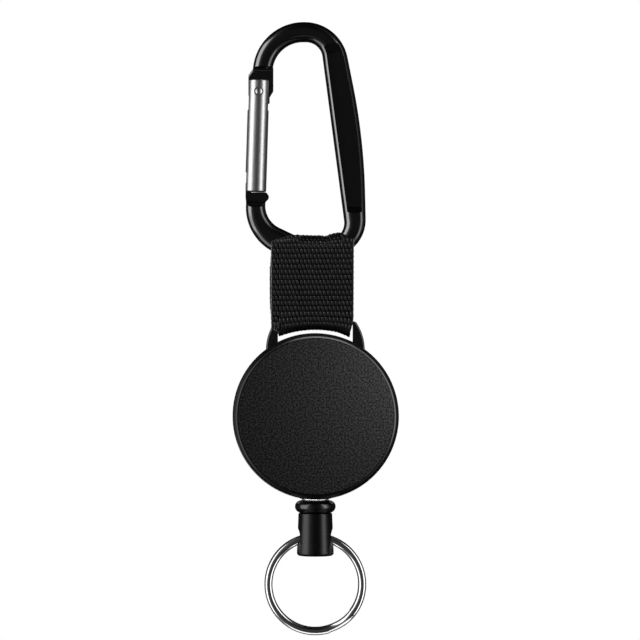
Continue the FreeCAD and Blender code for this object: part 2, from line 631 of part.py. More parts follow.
def centre_screw():
    screw = spool_turned([(0, DISC_SEAT_Y), (SCREW_HEAD_RADIUS, DISC_SEAT_Y), (SCREW_RADIUS, COVER_INNER_Y),
                          (SCREW_RADIUS, SCREW_END_Y - 0.2), (0, SCREW_END_Y - 0.2)])
    socket = block(-SOCKET_LENGTH / 2, SOCKET_LENGTH / 2, DISC_SEAT_Y - 1, DISC_SEAT_Y + SOCKET_DEPTH,
                   -SOCKET_WIDTH / 2, SOCKET_WIDTH / 2)
    crossed = socket.copy()
    crossed.rotate(Vector(0, 0, 0), Y_AXIS, 90)
    return screw.cut(socket).cut(crossed)


def outlet_bush():
    """Bright bush with a trumpet mouth inside, where the cord turns down."""
    lip_x = BUSH_BORE + BUSH_LIP_RADIUS
    lip_z = BUSH_TOP - BUSH_LIP_RADIUS
    steps = 8
    mouth = []
    for i in range(steps + 1):
        angle = radians(90 + 90 * i / steps)
        mouth.append((lip_x + BUSH_LIP_RADIUS * cos(angle), lip_z + BUSH_LIP_RADIUS * sin(angle)))
    profile = [(BUSH_BODY_RADIUS, BUSH_TOP), *mouth,
               (BUSH_BORE, BUSH_BOTTOM + 0.3), (BUSH_BORE + 0.3, BUSH_BOTTOM),
               (BUSH_FLANGE_RADIUS - 0.15, BUSH_BOTTOM), (BUSH_FLANGE_RADIUS, BUSH_BOTTOM + 0.15),
               (BUSH_FLANGE_RADIUS, BUSH_FLANGE_TOP), (BUSH_BODY_RADIUS, BUSH_FLANGE_TOP)]
    return cord_turned(profile)


# ---------------------------------------------------------------- spool and power spring
SPOOL_BORE = POST_RADIUS + GAP
HUB_RADIUS = 5.0
DRUM_OUTER = 13.0
DRUM_INNER = 12.0
FLANGE_RADIUS = 17.6
FLANGE_THICKNESS = 0.8
GROOVE_HALF = 1.6
WOUND_RADIUS = 15.0         # outside of the cord on the spool when it is all wound in
HUB_FRONT_Y = -9.8
WEB_Y = -8.4
WEB_THICKNESS = 0.8
DRUM_BACK_Y = -3.2
SPRING_FRONT_Y = -8.2
SPRING_BACK_Y = -3.4
SPRING_STRIP = 0.2
SPRING_TURNS = 9
COVER_DISC_THICKNESS = 0.35
WASHER_RADIUS = 5.6


def spool():
    front = MID - GROOVE_HALF
    back = MID + GROOVE_HALF
    front_outside = front - FLANGE_THICKNESS
    back_outside = back + FLANGE_THICKNESS
    web_front = WEB_Y - WEB_THICKNESS
    return spool_turned([
        (SPOOL_BORE, HUB_FRONT_Y), (HUB_RADIUS, HUB_FRONT_Y), (HUB_RADIUS, web_front),
        (DRUM_OUTER, web_front), (DRUM_OUTER, front_outside), (FLANGE_RADIUS, front_outside),
        (FLANGE_RADIUS, front), (DRUM_OUTER, front), (DRUM_OUTER, back), (FLANGE_RADIUS, back),
        (FLANGE_RADIUS, back_outside), (DRUM_OUTER, back_outside), (DRUM_OUTER, DRUM_BACK_Y),
        (DRUM_INNER, DRUM_BACK_Y),
        (DRUM_INNER, WEB_Y), (SPOOL_BORE, WEB_Y)])


def spring_cover():
    return washer(DRUM_OUTER - 0.2, POST_RADIUS + 0.6, DRUM_BACK_Y, DRUM_BACK_Y + COVER_DISC_THICKNESS)


def power_spring():
    """Flat steel strip wound in a spiral; its inner end is bent into the slit of the post."""
    inner = POST_RADIUS + 0.25
    outer = DRUM_INNER - 0.3
    steps_per_turn = 24
    count = SPRING_TURNS * steps_per_turn
    sides = []
    for offset in (0, SPRING_STRIP):
        points = []
        for i in range(count + 1):
            angle = 2 * pi * i / steps_per_turn
            radius = inner + (outer - inner - SPRING_STRIP) * i / count + offset
            points.append(Vector(radius * cos(angle), SPRING_FRONT_Y, radius * sin(angle)))
        curve = Part.BSplineCurve()
        curve.interpolate(points)
        sides.append(curve.toShape())
    ends = [Part.makeLine(sides[0].Vertexes[k].Point, sides[1].Vertexes[k].Point) for k in (0, -1)]
    outline = Part.Wire(Part.__sortEdges__([*sides, *ends]))
    strip = Part.Face(outline).extrude(Y_AXIS * (SPRING_BACK_Y - SPRING_FRONT_Y))
    tab = block(1.5, inner + SPRING_STRIP / 2, SPRING_FRONT_Y, SPRING_BACK_Y, 0, SPRING_STRIP / 2)
    return strip.fuse(tab).removeSplitter()


def front_washer():
    return washer(WASHER_RADIUS, POST_RADIUS + GAP, COVER_INNER_Y + GAP, HUB_FRONT_Y - GAP)


def rear_washer():
    return washer(WASHER_RADIUS, POST_RADIUS + GAP, REAR_BOSS_Y, REAR_BOSS_Y - 0.3)


# ---------------------------------------------------------------- cord, bead, sleeve and ring
CORD_SPLIT_Z = -19.4        # inside the bush: above it the cord stays put, below it is pulled out
TURN_RADIUS = BUSH_BORE + BUSH_LIP_RADIUS
BEAD_TOP = BUSH_BOTTOM - GAP
BEAD_BOTTOM = BEAD_TOP - BEAD_HEIGHT
SLEEVE_TOP = BEAD_BOTTOM - GAP
SLEEVE_LENGTH = 10.4
SLEEVE_BOTTOM = SLEEVE_TOP - SLEEVE_LENGTH
SLEEVE_CHAMBER = 2.75
SLEEVE_ROOF = 1.5
SLEEVE_FOOT_ROUNDING = 0.7
SLEEVE_TOP_ROUNDING = 0.3
SLEEVE_CORD_HOLE = 0.65
CROSS_HOLE_RADIUS = 2.2
RING_TOP_Z = -29.48         # where the ring's wire passes through the sleeve
FERRULE_RADIUS = 2.4
FERRULE_LENGTH = 1.9
FERRULE_BEVEL = 0.3
CORD_CLEARANCE = 0.02
FERRULE_TOP = SLEEVE_TOP - SLEEVE_ROOF - GAP
CORD_END = FERRULE_TOP - FERRULE_LENGTH - 0.4


def cord_wound():
    return washer(WOUND_RADIUS, DRUM_OUTER, MID - GROOVE_HALF + GAP, MID + GROOVE_HALF - GAP)


def cord_lead():
    """Cord from the top of the winding, across the casing and round the mouth of the bush."""
    leave_radius = WOUND_RADIUS + CORD_RADIUS + GAP
    turn_centre = at(TURN_RADIUS, BUSH_TOP - BUSH_LIP_RADIUS)
    distance = hypot(turn_centre.x, turn_centre.z)
    reach = acos((leave_radius + TURN_RADIUS) / distance)
    toward = atan2(turn_centre.z, turn_centre.x)
    leave_angle = toward + reach
    leave = at(leave_radius * cos(leave_angle), leave_radius * sin(leave_angle))
    meet = turn_centre - Vector(cos(leave_angle), 0, sin(leave_angle)) * TURN_RADIUS
    level = turn_centre - X_AXIS * TURN_RADIUS
    middle_angle = (leave_angle + pi + pi) / 2
    middle = turn_centre + Vector(cos(middle_angle), 0, sin(middle_angle)) * TURN_RADIUS
    path = Part.Wire([Part.makeLine(leave, meet), Part.Arc(meet, middle, level).toShape(),
                      Part.makeLine(level, at(0, CORD_SPLIT_Z + 0.02))])
    section = Part.Wire(Part.makeCircle(CORD_RADIUS, leave, meet - leave))
    return path.makePipeShell([section], True, False)


def cord_free():
    return Part.makeCylinder(CORD_RADIUS, CORD_SPLIT_Z - CORD_END, at(0, CORD_END), Z_AXIS)


def stop_bead():
    half = BEAD_HEIGHT / 2
    centre_z = BEAD_TOP - half
    hole = CORD_RADIUS + CORD_CLEARANCE
    core_radius = BEAD_RADIUS - half
    core = cord_turned([
        (hole, BEAD_BOTTOM), (core_radius, BEAD_BOTTOM), (core_radius, BEAD_TOP), (hole, BEAD_TOP)])
    round_side = Part.makeTorus(BEAD_RADIUS - half, half, at(0, centre_z), Z_AXIS)
    bead = core.fuse(round_side)
    return bead.cut(Part.makeCylinder(hole, REACH, at(0, centre_z - REACH / 2), Z_AXIS)).removeSplitter()


def cord_ferrule():
    crimp = Part.makeCylinder(FERRULE_RADIUS, FERRULE_LENGTH, at(0, FERRULE_TOP - FERRULE_LENGTH), Z_AXIS)
    crimp = crimp.makeChamfer(FERRULE_BEVEL, [e for e in crimp.Edges if e.BoundBox.ZLength < EDGE_TOLERANCE])
    hole = Part.makeCylinder(CORD_RADIUS + CORD_CLEARANCE, REACH, at(0, FERRULE_TOP - REACH / 2), Z_AXIS)
    return crimp.cut(hole)


def end_sleeve():
    shape = Part.makeCone(SLEEVE_TOP_RADIUS + SLEEVE_FLARE, SLEEVE_TOP_RADIUS, SLEEVE_LENGTH,
                          at(0, SLEEVE_BOTTOM), Z_AXIS)
    middle = (SLEEVE_TOP + SLEEVE_BOTTOM) / 2
    shape = round_edges(shape, SLEEVE_FOOT_ROUNDING, lambda e: e.Closed and e.BoundBox.ZMax < middle)
    shape = round_edges(shape, SLEEVE_TOP_ROUNDING, lambda e: e.Closed and e.BoundBox.ZMin > middle)
    chamber = Part.makeCylinder(SLEEVE_CHAMBER, SLEEVE_LENGTH - SLEEVE_ROOF, at(0, SLEEVE_BOTTOM), Z_AXIS)
    cord_hole = Part.makeCylinder(SLEEVE_CORD_HOLE, REACH, at(0, middle), Z_AXIS)
    cross_hole = Part.makeCylinder(CROSS_HOLE_RADIUS, REACH, at(-REACH / 2, RING_TOP_Z), X_AXIS)
    return shape.cut(chamber).cut(cord_hole).cut(cross_hole)


RING_CENTRE_Z = RING_TOP_Z - (RING_OUTER_RADIUS - RING_BAND / 2)
RING_COIL_OFFSET = RING_WIRE_THICKNESS / 2 + 0.01    # the two turns all but touch
RING_JOG_START = 128.0      # clockwise from the top, in degrees
RING_JOG_ANGLE = 34.0
RING_END_GAP = 1.0


def ring_section(y_middle):
    """The wire's oval section at the top of the ring."""
    centre = at(0, RING_CENTRE_Z + RING_OUTER_RADIUS - RING_BAND / 2, y_middle)
    outermost = centre + Z_AXIS * (RING_BAND / 2)
    front = centre - Y_AXIS * (RING_WIRE_THICKNESS / 2)
    return Part.Wire(Part.Ellipse(outermost, front, centre).toShape())


def ring_coil(y_middle, start, sweep):
    """One turn of the ring's wire that lies flat."""
    coil = Part.Face(ring_section(y_middle)).revolve(at(0, RING_CENTRE_Z), Y_AXIS, sweep)
    coil.rotate(at(0, RING_CENTRE_Z), Y_AXIS, start)
    return coil


def split_ring():
    """Two flat turns of wire joined by a short jog, with both free ends beside it."""
    front = MID - RING_COIL_OFFSET
    back = MID + RING_COIL_OFFSET
    steps = 12
    sections = []
    for i in range(steps + 1):
        share = i / steps
        eased = share * share * (3 - 2 * share)
        section = ring_section(front + (back - front) * eased)
        section.rotate(at(0, RING_CENTRE_Z), Y_AXIS, RING_JOG_START + RING_JOG_ANGLE * share)
        sections.append(section)
    jog = Part.makeLoft(sections, True, True)
    around = 360 - RING_JOG_ANGLE - RING_END_GAP
    first = ring_coil(front, RING_JOG_START - around, around)
    second = ring_coil(back, RING_JOG_START + RING_JOG_ANGLE, around)
    return jog.fuse([first, second]).removeSplitter()


# ---------------------------------------------------------------- export
PIECES = [
    carabiner_body, carabiner_gate, gate_rivet, gate_plunger, gate_spring,
    webbing_strap, strap_stitching, loop_plate, rear_housing, front_cover, face_disc, centre_screw,
    outlet_bush, spool, spring_cover, power_spring, front_washer, rear_washer,
    cord_wound, cord_lead, cord_free, stop_bead, cord_ferrule, end_sleeve, split_ring,
]

os.makedirs("parts", exist_ok=True)
for piece in PIECES:
    piece().exportStep(f"parts/{piece.__name__}.step")
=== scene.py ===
"""Retractable badge reel on a carabiner: the looks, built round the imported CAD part."""

import math

import bpy
import numpy as np
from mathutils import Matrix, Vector


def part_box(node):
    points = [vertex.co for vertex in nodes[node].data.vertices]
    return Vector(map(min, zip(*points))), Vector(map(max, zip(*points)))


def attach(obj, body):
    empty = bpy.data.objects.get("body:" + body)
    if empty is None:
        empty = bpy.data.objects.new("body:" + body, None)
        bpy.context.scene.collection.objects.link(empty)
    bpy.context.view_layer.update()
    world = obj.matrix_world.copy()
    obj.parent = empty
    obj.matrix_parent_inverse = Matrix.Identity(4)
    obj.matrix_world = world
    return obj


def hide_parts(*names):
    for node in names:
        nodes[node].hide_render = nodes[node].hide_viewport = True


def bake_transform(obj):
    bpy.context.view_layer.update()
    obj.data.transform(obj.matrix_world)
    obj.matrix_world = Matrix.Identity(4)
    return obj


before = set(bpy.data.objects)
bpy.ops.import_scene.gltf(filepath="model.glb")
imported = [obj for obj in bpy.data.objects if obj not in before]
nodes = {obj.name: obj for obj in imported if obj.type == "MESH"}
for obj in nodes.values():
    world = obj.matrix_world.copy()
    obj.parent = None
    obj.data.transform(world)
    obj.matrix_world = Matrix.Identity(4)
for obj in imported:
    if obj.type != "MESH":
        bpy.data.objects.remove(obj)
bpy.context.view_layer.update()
MM = 0.001
COLOR_A, COLOR_B, COLOR_RESULT = 6, 7, 2      # colour sockets of Blender's mix node


def box_mm(node):
    """Lowest and highest corner of a CAD node, in millimetres."""
    low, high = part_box(node)
    return low / MM, high / MM


# ---------------------------------------------------------------- finishes
class Finish:
    """A principled material whose colour, roughness and relief come from procedural textures."""

    def __init__(self, name, color, roughness, metallic=0.0, **settings):
        self.material = bpy.data.materials.new(name)
        self.material.use_nodes = True
        self.tree = self.material.node_tree
        self.shader = self.tree.nodes["Principled BSDF"]
        self.shader.inputs["Base Color"].default_value = (*color, 1)
        self.shader.inputs["Roughness"].default_value = roughness
        self.shader.inputs["Metallic"].default_value = metallic
        for label, value in settings.items():
            self.shader.inputs[label.replace("_", " ")].default_value = value
        self.place = self.tree.nodes.new("ShaderNodeTexCoord").outputs["Object"]
        self.relief = None

    def node(self, kind, links=(), **values):
        """Add a shader node; each link gives a socket another node's output or a plain value."""
        made = self.tree.nodes.new(kind)
        for key, value in values.items():
            setattr(made, key, value)
        for socket, source in links:
            if hasattr(source, "links"):
                self.tree.links.new(source, made.inputs[socket])
            else:
                made.inputs[socket].default_value = source
        return made

    def grain(self, size_mm, stretch=(1, 1, 1), detail=2.0, spread=0.5):
        """Noise whose blotches are about size_mm across, drawn out along an axis by stretch."""
        scale = tuple(1 / (MM * size_mm * s) for s in stretch)
        mapping = self.node("ShaderNodeMapping", [("Vector", self.place), ("Scale", scale)])
        texture = self.node("ShaderNodeTexNoise", [
            ("Vector", mapping.outputs[0]), ("Scale", 1.0), ("Detail", detail), ("Roughness", spread)])
        return texture.outputs["Fac"]

    def pits(self, size_mm):
        """Distance to the nearest of scattered points: dimples or grains about size_mm apart."""
        texture = self.node("ShaderNodeTexVoronoi", [
            ("Vector", self.place), ("Scale", 1 / (MM * size_mm))])
        return texture.outputs["Distance"]

    def waves(self, size_mm, direction):
        """Bands about size_mm wide."""
        texture = self.node("ShaderNodeTexWave", [
            ("Vector", self.place), ("Scale", 1 / (MM * size_mm * 2))], bands_direction=direction)
        return texture.outputs["Fac"]

    def spread(self, value, low, high, start=0.3, end=0.7):
        """Remap a texture from the start..end part of its range to low..high."""
        return self.node("ShaderNodeMapRange", [
            ("Value", value), ("From Min", start), ("From Max", end),
            ("To Min", low), ("To Max", high)]).outputs[0]

    def color(self, value, dark, light, start=0.3, end=0.7):
        """Colour the surface from dark to light over the start..end part of a texture."""
        mix = self.node("ShaderNodeMix", data_type="RGBA")
        self.tree.links.new(self.spread(value, 0, 1, start, end), mix.inputs["Factor"])
        mix.inputs[COLOR_A].default_value = (*dark, 1)
        mix.inputs[COLOR_B].default_value = (*light, 1)
        self.tree.links.new(mix.outputs[COLOR_RESULT], self.shader.inputs["Base Color"])

    def roughness(self, value, low, high):
        self.tree.links.new(self.spread(value, low, high), self.shader.inputs["Roughness"])

    def bump(self, value, depth_mm, strength=1.0):
        links = [("Height", value), ("Distance", depth_mm * MM), ("Strength", strength)]
        if self.relief is not None:
            links.append(("Normal", self.relief))
        self.relief = self.node("ShaderNodeBump", links).outputs[0]
        self.tree.links.new(self.relief, self.shader.inputs["Normal"])


def grey(value):
    return (value, value, value)


def black_anodised():
    finish = Finish("black_anodised", grey(0.002), 0.17, IOR=1.75)
    finish.color(finish.grain(3.0, detail=4), grey(0.0012), grey(0.0025))
    finish.roughness(finish.grain(0.5, (1, 1, 5), 3), 0.14, 0.2)
    finish.bump(finish.grain(0.3, detail=3), 0.002, 0.2)
    return finish.material


def brushed_steel():
    finish = Finish("brushed_steel", grey(0.4), 0.34, 1.0)
    lines = finish.grain(0.06, (1, 1, 120), 3, 0.6)
    finish.color(lines, grey(0.34), grey(0.42))
    finish.roughness(lines, 0.31, 0.40)
    finish.bump(lines, 0.0015, 0.3)
    return finish.material


def satin_nickel():
    finish = Finish("satin_nickel", grey(0.6), 0.42, 1.0)
    finish.color(finish.grain(1.0, detail=3), grey(0.55), grey(0.66))
    finish.roughness(finish.grain(0.3, detail=3), 0.38, 0.48)
    return finish.material


def spring_wire():
    finish = Finish("spring_wire", grey(0.55), 0.3, 1.0)
    finish.roughness(finish.grain(0.3), 0.22, 0.4)
    return finish.material


def polyester(name, light):
    """Fine filaments that run along the yarn; ambient occlusion paints the hollows between yarns nearly
    black (painted shade) and turns their shine down.
    """
    finish = Finish(name, grey(0.005), 0.42)
    hollow_shade = finish.node(
        "ShaderNodeAmbientOcclusion", [("Distance", 0.7 * MM)], samples=6).outputs["AO"]
    # painted shade: the yarn colour falls to almost black where ambient occlusion finds the hollows
    # between yarns
    finish.color(hollow_shade, grey(light * 0.02), grey(light), 0.25, 0.85)
    shine = finish.spread(hollow_shade, 0.0, 0.8, 0.4, 0.9)
    finish.tree.links.new(shine, finish.shader.inputs["Specular IOR Level"])
    finish.roughness(finish.grain(0.2, (1, 1, 3)), 0.3, 0.42)
    finish.bump(finish.grain(0.06, (1, 1, 9), 2), 0.014, 0.5)
    return finish.material


def painted_steel():
    finish = Finish("painted_steel", grey(0.004), 0.28, Specular_IOR_Level=0.6)
    finish.color(finish.grain(0.5, detail=4), grey(0.002), grey(0.005))
    finish.roughness(finish.grain(0.4), 0.22, 0.34)
    finish.bump(finish.grain(0.22, detail=3), 0.008, 0.4)
    return finish.material


def moulded_plastic():
    """Satin black housing with the fine spark finish of its mould."""
    finish = Finish("moulded_plastic", grey(0.004), 0.26, Specular_IOR_Level=0.5)
    finish.color(finish.grain(0.8, detail=4), grey(0.002), grey(0.005))
    finish.roughness(finish.grain(0.15, detail=3), 0.22, 0.32)
    finish.bump(finish.pits(0.16), 0.004, 0.35)
    return finish.material


def speckled_face():
    """Matt face with an uneven, sandy grain."""
    finish = Finish("speckled_face", grey(0.02), 0.6, Specular_IOR_Level=0.12)
    speckle = finish.grain(0.40, detail=1.5, spread=0.6)
    finish.color(speckle, grey(0.0005), grey(0.026), 0.40, 0.66)
    finish.roughness(finish.grain(0.3, detail=3), 0.5, 0.7)
    finish.bump(finish.grain(0.42, detail=2, spread=0.6), 0.10, 0.8)
    return finish.material


def chrome():
    finish = Finish("chrome", grey(0.66), 0.07, 1.0)
    finish.color(finish.grain(2.0, detail=3), grey(0.62), grey(0.70))
    finish.roughness(finish.grain(0.4, detail=4), 0.05, 0.13)
    return finish.material


def gloss_plastic():
    finish = Finish("gloss_plastic", grey(0.003), 0.2, IOR=1.55)
    finish.color(finish.grain(1.5, detail=3), grey(0.0015), grey(0.003))
    finish.roughness(finish.grain(0.5, detail=3), 0.2, 0.28)
    finish.bump(finish.grain(0.6, detail=2), 0.005, 0.3)
    return finish.material


def satin_plastic():
    finish = Finish("satin_plastic", grey(0.002), 0.3, Specular_IOR_Level=0.3)
    finish.color(finish.grain(0.9, detail=4), grey(0.001), grey(0.002))
    finish.roughness(finish.grain(0.3, (1, 1, 3), 3), 0.27, 0.34)
    finish.bump(finish.grain(0.2, detail=3), 0.003, 0.4)
    return finish.material


def plain_plastic(name, value):
    finish = Finish(name, grey(value), 0.45)
    finish.color(finish.grain(1.2, detail=3), grey(value * 0.85), grey(value * 1.1))
    finish.bump(finish.grain(0.3, detail=3), 0.006, 0.4)
    return finish.material


def brass():
    finish = Finish("brass", (0.62, 0.44, 0.20), 0.3, 1.0)
    finish.color(finish.grain(0.8, detail=4), (0.50, 0.34, 0.15), (0.70, 0.51, 0.25))
    finish.roughness(finish.grain(0.2, detail=3), 0.25, 0.42)
    return finish.material


def braided_cord():
    """Thin nylon cord: slanted strands from one diagonal wave."""
    finish = Finish("braided_cord", grey(0.012), 0.5, Sheen_Weight=0.2)
    strands = finish.waves(0.45, "DIAGONAL")
    # painted shade: the grooves between strands are coloured darker than the strand tops, on the same
    # wave as the bump
    finish.color(strands, grey(0.006), grey(0.028), 0.1, 0.9)
    finish.bump(strands, 0.06, 0.7)
    finish.bump(finish.grain(0.05, (1, 1, 4), 2), 0.02, 0.5)
    return finish.material


FINISHES = {
    "carabiner_body": black_anodised(),
    "carabiner_gate": brushed_steel(),
    "gate_spring": spring_wire(),
    "gate_plunger": plain_plastic("plunger_plastic", 0.05),
    "loop_plate": painted_steel(),
    "rear_housing": moulded_plastic(),
    "face_disc": speckled_face(),
    "outlet_bush": satin_nickel(),
    "split_ring": chrome(),
    "stop_bead": gloss_plastic(),
    "end_sleeve": satin_plastic(),
    "cord_ferrule": brass(),
    "spool": plain_plastic("spool_plastic", 0.5),
    "front_washer": plain_plastic("washer_plastic", 0.7),
    "cord_wound": braided_cord(),
}
SAME_FINISH = {
    "gate_rivet": "carabiner_gate",
    "front_cover": "rear_housing",
    "centre_screw": "gate_spring",
    "power_spring": "gate_spring",
    "spring_cover": "gate_spring",
    "rear_washer": "front_washer",
    "cord_lead": "cord_wound",
}
for node, material in FINISHES.items():
    nodes[node].data.materials.clear()
    nodes[node].data.materials.append(material)
for node, source in SAME_FINISH.items():
    nodes[node].data.materials.clear()
    nodes[node].data.materials.append(FINISHES[source])


# ---------------------------------------------------------------- mesh building
def make_object(name, vertices_mm, faces, material):
    """Smooth-shaded mesh object from points in millimetres."""
    mesh = bpy.data.meshes.new(name)
    mesh.from_pydata([tuple(p) for p in np.asarray(vertices_mm) * MM], [], faces)
    mesh.validate()
    mesh.shade_smooth()
    mesh.materials.append(material)
    made = bpy.data.objects.new(name, mesh)
    bpy.context.scene.collection.objects.link(made)
    return made


class Soup:
    """Gathers closed tubes into one mesh."""

    def __init__(self):
        self.points = []
        self.faces = []
        self.count = 0

    def tube(self, rings):
        """rings: array (n, sides, 3). Ends are closed with one face each."""
        n, sides, _ = rings.shape
        base = self.count
        self.points.append(rings.reshape(-1, 3))
        for i in range(n - 1):
            for j in range(sides):
                a = base + i * sides + j
                b = base + i * sides + (j + 1) % sides
                self.faces.append((a, b, b + sides, a + sides))
        self.faces.append(tuple(base + j for j in reversed(range(sides))))
        last = base + (n - 1) * sides
        self.faces.append(tuple(last + j for j in range(sides)))
        self.count += n * sides

    def build(self, name, material):
        return make_object(name, np.concatenate(self.points), self.faces, material)


def smooth(value, low, high):
    """Smooth step from 0 at low to 1 at high."""
    t = np.clip((value - low) / (high - low), 0, 1)
    return t * t * (3 - 2 * t)


SIDES = 8
ROUND = np.linspace(0, 2 * math.pi, SIDES, endpoint=False)


# ---------------------------------------------------------------- woven strap
strap_low, strap_high = box_mm("webbing_strap")
bead_low, bead_high = box_mm("stop_bead")
MID = (bead_low.y + bead_high.y) / 2        # halfway between the object's front and back
LEFT = strap_low.x
RIGHT = strap_high.x
THICKNESS = 0.95
SHOULDER_Z = 40.75              # the straight layers lie between this height
SPLIT_Z = 26.0                  # and this one
LOW_HALF = 2.6 - THICKNESS / 2
TOP_HALF = 4.4 - THICKNESS / 2
LEAN = (TOP_HALF - LOW_HALF) / (SHOULDER_Z - SPLIT_Z)
ARCH_RADIUS = 25.0              # the lower fold follows the loop's arched opening
ARCH_CENTRE = 23.2 - ARCH_RADIUS
BACK_START = 29.0
LAP_TOP = 36.5
LAP_STEP_LOW = 26.4             # between these the lapped end climbs onto the back layer
LAP_STEP_HIGH = 29.3
CLOSED_LEFT = -3.8              # the fold passes over the bar between these
CLOSED_RIGHT = 6.05
WRAP_LEFT = -8.95               # left of this the lower corner hangs in front of the loop's leg
FOLD_TO_MIDDLE = 0.30           # from the fold's top down to the webbing's middle
BACK_SHIFT = 0.3                # the back layers lie this much further left

CORNER_SPREAD = 0.6             # the right corners beside the fold spread apart
CORNER_SPREAD_HEIGHT = 2.9
CORNER_TUCK = 0.45              # the sealed edges of all corners lean in again
CORNER_TUCK_LENGTH = 1.3
FOOT_FLARE = 0.8                # the lower left corner stands off the loop
FOOT_FLARE_TOP = 23.4
FOOT_FLARE_HEIGHT = 2.2
EDGE_DRAW = 0.85                # the right edge is drawn in above the lower fold

ROW = 1.27                      # from one row of humps to the next
STEPS_PER_ROW = 8
YARNS = 42
FIRST_YARN = LEFT + 0.36
YARN_PITCH = 0.466
YARN_LIFT = 0.24                # how far a yarn's middle rises and falls
YARN_HALF_HEIGHT = 0.23
YARN_HALF_WIDTH = 0.27          # where the yarn is pulled flat
NARROW_HALF_WIDTH = 0.24        # where the yarn dives
HUMP_SWELL = 0.15               # how much wider it is on a hump
SWING_POWER = 0.8               # below 1 makes the humps fuller
YARN_SWAY = 0.06
END_TAPER = 0.35
EDGE_CORD_RADIUS = 0.24
EDGE_CORD_HALF_DEPTH = 0.3
WEFT_HALF_WIDTH = 0.68
WEFT_HALF_HEIGHT = 0.13
WEFT_WAVE = 0.09
SHORTEST_WEFT = 3               # columns
OVER_THINNING = 0.33
OVER_FLATTENING = 0.55
UNDER_FLATTENING = 0.8

# Travel is measured along the webbing from its inner end to its lapped end.
BACK_LENGTH = (SHOULDER_Z - BACK_START) * math.hypot(1, LEAN)
FOLD_LENGTH = 10.8
FRONT_LENGTH = (SHOULDER_Z - SPLIT_Z) * math.hypot(1, LEAN)
UNDER_LENGTH = 12.3
LAP_LENGTH = (LAP_TOP - SPLIT_Z) * math.hypot(1, LEAN) + 0.2
FRONT_START = BACK_LENGTH + FOLD_LENGTH
UNDER_START = FRONT_START + FRONT_LENGTH
LAP_START = UNDER_START + UNDER_LENGTH
TOTAL = LAP_START + LAP_LENGTH
OVER_MIDDLE = BACK_LENGTH + FOLD_LENGTH / 2
UNDER_MIDDLE = UNDER_START + UNDER_LENGTH / 2
ROW_ORIGIN = FRONT_START + 0.86


def layer_half(z):
    """Distance of the webbing's middle from the mid-plane on its straight layers."""
    return LOW_HALF + np.maximum(z - SPLIT_Z, 0) * LEAN


def fold_top(x):
    """Height of the fold over the carabiner's bar: it is wavy and rides up the right corner."""
    return np.interp(x, [-4.4, -3.0, 0.0, 1.2, 2.4, 3.6, 4.8, 6.1],
                     [44.2, 44.1, 44.0, 44.05, 43.8, 44.3, 44.62, 44.78])


def corner_top(x):
    """Where the layers end beside the fold, in front of and behind the bar's corners."""
    return np.interp(x, [LEFT, -6.2, CLOSED_LEFT, CLOSED_RIGHT, 7.4, RIGHT],
                     [42.3, 43.7, 43.8, 44.3, 43.6, 43.0])


def corner_foot(x):
    """Where the front layer's lower left corner ends, in front of the loop's leg."""
    return np.interp(x, [LEFT, WRAP_LEFT], [21.3, 19.9])


def path(x):
    """Stretches (travel, y, z) of the webbing's middle at one place across; None marks a break."""
    parts = []

    def add(start, length, y, z):
        parts.append((start + np.linspace(0, length, len(y)), y, z))

    z = np.linspace(BACK_START, SHOULDER_Z, 12)
    add(0, BACK_LENGTH, MID + layer_half(z), z)
    closed = CLOSED_LEFT <= x <= CLOSED_RIGHT
    if closed:
        angle = np.linspace(0, math.pi, 40)
        rise = fold_top(x) - FOLD_TO_MIDDLE - SHOULDER_Z
        add(BACK_LENGTH, FOLD_LENGTH,
            MID + TOP_HALF * np.cos(angle), SHOULDER_Z + rise * np.sin(angle))
    else:
        height = corner_top(x) - SHOULDER_Z
        climb = np.linspace(0, height, 16)
        spread = 0.0 if x < 0 else CORNER_SPREAD
        flare = (spread * (climb / CORNER_SPREAD_HEIGHT) ** 2
                 - CORNER_TUCK * smooth(climb, height - CORNER_TUCK_LENGTH, height + 0.3))
        add(BACK_LENGTH, height, MID + TOP_HALF + flare * 0.4, SHOULDER_Z + climb)
        parts.append((None, None, None))
        add(FRONT_START - height, height, MID - TOP_HALF - flare[::-1], SHOULDER_Z + climb[::-1])
    z = np.linspace(SHOULDER_Z, SPLIT_Z, 12)
    add(FRONT_START, FRONT_LENGTH, MID - layer_half(z), z)
    if x > WRAP_LEFT:
        centre = ARCH_CENTRE + math.sqrt(ARCH_RADIUS ** 2 - x * x)
        leg = SPLIT_Z - centre
        turn = math.pi * LOW_HALF
        travel = np.linspace(0, 2 * leg + turn, 70)
        angle = np.clip((travel - leg) / turn, 0, 1) * math.pi
        bottom = centre - LOW_HALF * np.sin(angle)
        rising = np.where(travel > leg + turn, centre + travel - leg - turn, bottom)
        z = np.where(travel < leg, SPLIT_Z - travel, rising)
        add(UNDER_START, UNDER_LENGTH, MID - LOW_HALF * np.cos(angle), z)
    else:
        foot = corner_foot(x)
        z = np.linspace(SPLIT_Z, foot, 20)
        flare = FOOT_FLARE * np.maximum((FOOT_FLARE_TOP - z) / FOOT_FLARE_HEIGHT, 0) ** 2
        add(UNDER_START, SPLIT_Z - foot, MID - LOW_HALF - flare, z)
        parts.append((None, None, None))
        add(LAP_START - SPLIT_Z + foot, SPLIT_Z - foot,
            MID + LOW_HALF + flare[::-1] * 0.6, z[::-1])
    z = np.linspace(SPLIT_Z, LAP_TOP, 30)
    lap = THICKNESS * smooth(z, LAP_STEP_LOW, LAP_STEP_HIGH)
    add(LAP_START, LAP_LENGTH, MID + layer_half(z) + lap, z)
    return parts


def runs(x):
    """The unbroken lengths of webbing at one place across: arrays of travel, y and z."""
    found, current = [], []
    for travel, y, z in path(x) + [(None, None, None)]:
        if travel is None:
            found.append([np.concatenate([c[i] for c in current]) for i in range(3)])
            current = []
        else:
            current.append((travel, y, z))
    return found


